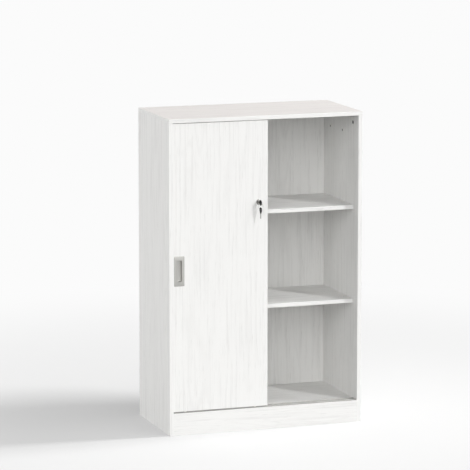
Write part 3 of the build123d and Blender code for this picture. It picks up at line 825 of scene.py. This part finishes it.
def egg(radius, small, apart, turn):
    """How far two circles joined by tangents reach from the middle of the larger, at an angle."""
    turn = abs((turn + math.pi) % (2 * math.pi) - math.pi)
    lean = math.acos((radius - small) / apart)
    if turn >= lean:
        return radius
    far = (apart + small * math.cos(lean), small * math.sin(lean))
    if turn > math.atan2(far[1], far[0]):
        return radius / math.cos(lean - turn)
    return apart * math.cos(turn) + math.sqrt(small**2 - (apart * math.sin(turn)) ** 2)


print("neck", neck_radius, "mm")

# %% [markdown]
# A key head has a rim round each face and round the hole, with a sunk panel between. Insetting a flat
# face would need a second step for the hole, and the loops make both at once: they run from the outer
# edge over one face, down through the hole and back over the other face, so the last joins the first.
# Both heads lie edge on to the door, one behind the other, so both are flat along X. One points its blade
# into the lock and the other hangs from the ring.

# %% Key heads
hole_radius = 4.0
hole_shift = 2.0
head_points = 72
head_ease = 0.5
ease_share = 0.3
rim_band = 1.5
panel_depth = 0.3


def key_head(name, along, body, rest):
    """A moulded head: along points to its blade, and rest to where the ring lies in its hole."""
    low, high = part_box(name)
    size = (high - low) / MM
    half = size.x / 2
    radius = min(size.y, size.z) / 2
    apart = max(size.y, size.z) - radius - neck_radius
    across = Vector((1, 0, 0)).cross(along)
    bow = (low + high) / 2 - along * (max(size.y, size.z) / 2 - radius) * MM
    hole = bow + rest * hole_shift * MM

    def ring_at(middle, reach_at, lift):
        """A loop round a point, at a height from the middle of the head."""
        points = []
        for i in range(head_points):
            turn = 2 * math.pi * i / head_points
            flat = along * math.cos(turn) + across * math.sin(turn)
            points.append(middle + (flat * reach_at(turn) + Vector((lift, 0, 0))) * MM)
        return points

    def outline(inset, lift):
        """The outer edge, drawn in by an inset."""
        return ring_at(bow, lambda turn: egg(radius - inset, neck_radius - inset, apart, turn), lift)

    def circle(reach, lift):
        """A circle about the hole."""
        return ring_at(hole, lambda turn: reach, lift)

    sunk = half - panel_depth
    face = [
        (outline, 0.0, half - head_ease),
        (outline, head_ease * ease_share, half - head_ease * ease_share),
        (outline, head_ease, half),
        (outline, rim_band, half),
        (outline, rim_band + panel_depth, sunk),
        (circle, hole_radius + rim_band + panel_depth, sunk),
        (circle, hole_radius + rim_band, half),
        (circle, hole_radius + head_ease, half),
        (circle, hole_radius + head_ease * ease_share, half - head_ease * ease_share),
        (circle, hole_radius, half - head_ease),
    ]
    loops = [shape(reach, lift) for shape, reach, lift in face]
    loops += [shape(reach, -lift) for shape, reach, lift in reversed(face)]
    form = bmesh.new()
    skin(form, loops, endless=True)
    piece = finished(name + "_moulded", form, key_black, body, smooth_to=40)
    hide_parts(name)
    return piece


into_lock, downward, upward = Vector((0, 1, 0)), Vector((0, 0, -1)), Vector((0, 0, 1))
heads = [
    key_head("lock_key_head", into_lock, "lock_cylinder", rest=downward),
    key_head("spare_key_head", downward, "spare_key", rest=upward),
]
print("key heads", [piece.name for piece in heads])

# %% [markdown]
# A blade is milled from flat steel, with a groove along each side and notches along one edge. Cutting
# those with booleans leaves ragged meshes on a piece this thin. So the blade is a stack of loops across
# it, one at every station from the root in the head to the tip, and the notches are stations where the
# cut edge steps in.

# %% Key blades
blade_root = 5.0
blade_shoulder = 7.0
blade_tip = 2.0
blade_tip_share = 0.25
notch_count = 5
notch_depth = 1.4
notch_shallow = 0.15
groove_half = 0.8
groove_slope = 0.15
groove_depth = 0.4


def key_blade(name, along, body):
    """A milled blade with notches; along points from its root to its tip."""
    low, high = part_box(name)
    size = (high - low) / MM
    length = max(size.y, size.z)
    half = min(size.y, size.z) / 2
    thick = size.x / 2
    across = Vector((1, 0, 0)).cross(along)
    root = (low + high) / 2 - along * length / 2 * MM
    cut_start = blade_root + blade_shoulder
    pitch = (length - cut_start - blade_tip) / notch_count
    stations = [(0.0, 1.0, 0.0), (cut_start, 1.0, 0.0)]
    for i in range(notch_count):
        middle = cut_start + pitch * (i + 0.5)
        stations += [(middle, 1.0, notch_depth), (middle + pitch / 2, 1.0, notch_shallow)]
    stations.append((length, blade_tip_share, 0.0))
    loops = []
    for place, share, cut in stations:
        columns = (
            (-half * share, thick),
            (-(groove_half + groove_slope) * share, thick),
            (-groove_half * share, thick - groove_depth),
            (groove_half * share, thick - groove_depth),
            ((groove_half + groove_slope) * share, thick),
            (half * share - cut, thick),
        )
        loop = []
        for sign, order in ((1, columns), (-1, columns[::-1])):
            for reach, lift in order:
                flat = along * place + across * reach + Vector((sign * lift, 0, 0))
                loop.append(root + flat * MM)
        loops.append(loop)
    form = bmesh.new()
    skin(form, loops)
    piece = finished(name + "_milled", form, key_steel, body, smooth_to=20)
    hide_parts(name)
    return piece


blades = [
    key_blade("lock_key_blade", into_lock, "lock_cylinder"),
    key_blade("spare_key_blade", downward, "spare_key"),
]
print("blades", [piece.name for piece in blades])

# %% [markdown]
# The keys hang on a split ring of flat wire in two turns. A torus would have no split. So the wire's
# outline is spun twice round while it moves sideways by its own thickness and a hair more, and the two
# turns lie side by side with a fine line between them.

# %% Split ring
wire_points = 12
wire_height = 0.6
wire_turns = 2
wire_gap = 0.03
turn_steps = 72

low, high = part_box("key_ring")
ring_middle = (low + high) / 2
ring_thickness = (high.y - low.y) / MM
wire_width = ring_thickness / wire_turns - wire_gap
ring_reach = (high.z - low.z) / 2 / MM - wire_height
first_turn = -ring_thickness / 2 + wire_width / 2
form = bmesh.new()
wire = []
for i in range(wire_points):
    turn = 2 * math.pi * i / wire_points
    y = first_turn + wire_width / 2 * math.sin(turn)
    z = ring_reach + wire_height * math.cos(turn)
    wire.append(form.verts.new(ring_middle + Vector((0, y, z)) * MM))
edges = [form.edges.new(pair) for pair in zip(wire, wire[1:] + wire[:1])]
bmesh.ops.spin(
    form,
    geom=wire + edges,
    cent=ring_middle,
    axis=(0, 1, 0),
    dvec=Vector((0, wire_width + wire_gap, 0)) * MM / turn_steps,
    angle=2 * math.pi * wire_turns,
    steps=turn_steps * wire_turns,
)
bmesh.ops.holes_fill(form, edges=form.edges[:], sides=wire_points)
ring = finished("split_ring", form, ring_steel, "key_ring", smooth_to=60)
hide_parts("key_ring")
print("ring", ring.name, "of", wire_turns, "turns")

# %% [markdown]
# Small screws hold the track, the wheel housings, the top guides and the locking arm. Each has a low pan
# head with a cross recess for the driver. The recess could be cut with a boolean, but the head is a stack
# of loops too: round at the rim, drawn in to the outline of a cross at the top, and then down into the
# head. Its round loops have a point for each corner of the cross, so the mesh stays clean.

# %% Screw head
head_radius = 3.2
head_height = 1.3
head_crown = 0.45
foot_share = 0.9
foot_height = 0.25
shoulder_share = 0.97
shoulder_drop = 0.2
crown_share = 0.82
crown_height_share = 0.35
flat_share = 0.62
cross_reach = 1.7
cross_half = 0.42
cross_depth = 0.9
cross_bottom_share = 0.75


def cross_outline(reach, half):
    """A cross with square ends: a point on every corner and one in the middle of each end."""
    corner = ((reach, -half), (reach, 0.0), (reach, half), (half, half))
    points = []
    for quarter in range(4):
        turn = Matrix.Rotation(math.pi / 2 * quarter, 2)
        points += [turn @ Vector(point) for point in corner]
    return points


def screw_head(form, seat, out, right, radius=head_radius, height=head_height):
    """One pan head on a seat: out points away from it."""
    over = out.cross(right)
    cross = cross_outline(cross_reach, cross_half)
    circle = [point.normalized() for point in cross]
    stack = [
        (circle, radius * foot_share, 0.0),
        (circle, radius, foot_height),
        (circle, radius * shoulder_share, height - head_crown - shoulder_drop),
        (circle, radius * crown_share, height - head_crown * crown_height_share),
        (circle, radius * flat_share, height),
        (cross, 1.0, height),
        (cross, cross_bottom_share, height - cross_depth),
    ]
    loops = []
    for shape, scale, lift in stack:
        loops.append([seat + (right * p.x * scale + over * p.y * scale + out * lift) * MM for p in shape])
    skin(form, loops)


print("screw heads", 2 * head_radius, "mm wide")

# %% [markdown]
# The track is screwed down between its two rails, and each door has two screws at either wheel housing
# and one at either guide. Each head could be an object of its own, but no one takes them apart. So the
# heads of one body are one piece: the track's stay with the cabinet, and the others slide with their
# door.

# %% Screws of the track and the doors
track_screw_count = 6
track_screw_margin = 60.0
rail_base = 1.2
housing_screw_half = 15.5
housing_screw_drop = 8.0
guide_screw_drop = 18.0
to_right, to_back = Vector((1, 0, 0)), Vector((0, 1, 0))


def screws(name, seats, out, body):
    """The pan heads of one body as one piece."""
    form = bmesh.new()
    for seat in seats:
        screw_head(form, seat, out, to_right)
    return finished(name, form, zinc_steel, body, smooth_to=30)


low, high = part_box("bottom_track")
run = high.x - low.x - 2 * track_screw_margin * MM
seats = []
for i in range(track_screw_count):
    x = low.x + track_screw_margin * MM + run * i / (track_screw_count - 1)
    seats.append(Vector((x, (low.y + high.y) / 2, low.z + rail_base * MM)))
made = [screws("track_screws", seats, upward, "carcass")]

for door in ("front", "rear"):
    low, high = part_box(door + "_wheel_housings")
    guide_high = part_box(door + "_top_guides")[1]
    seats = []
    for side in ("left", "right"):
        wheel_low, wheel_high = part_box(door + "_" + side + "_wheel")
        x = (wheel_low.x + wheel_high.x) / 2
        for step in (-housing_screw_half, housing_screw_half):
            seats.append(Vector((x + step * MM, high.y, high.z - housing_screw_drop * MM)))
        seats.append(Vector((x, guide_high.y, guide_high.z - guide_screw_drop * MM)))
    made.append(screws(door + "_fitting_screws", seats, to_back, door + "_door"))
print("screws", [piece.name for piece in made])

# %% [markdown]
# One more screw holds the locking arm on the end of the turning plug. It could be one of the door's
# screws, but it turns with the plug, so it is a piece of its own. It has the same head, as wide as the
# plain screw in the model that it replaces.

# %% Screw of the locking arm
arm_screw_height = 1.2

low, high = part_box("arm_screw")
form = bmesh.new()
seat = Vector(((low.x + high.x) / 2, high.y - arm_screw_height * MM, (low.z + high.z) / 2))
screw_head(form, seat, to_back, to_right, (high.x - low.x) / 2 / MM, arm_screw_height)
arm_screw = finished("arm_screw_head", form, zinc_steel, "lock_cylinder", smooth_to=30)
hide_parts("arm_screw")
print("arm screw", arm_screw.name)
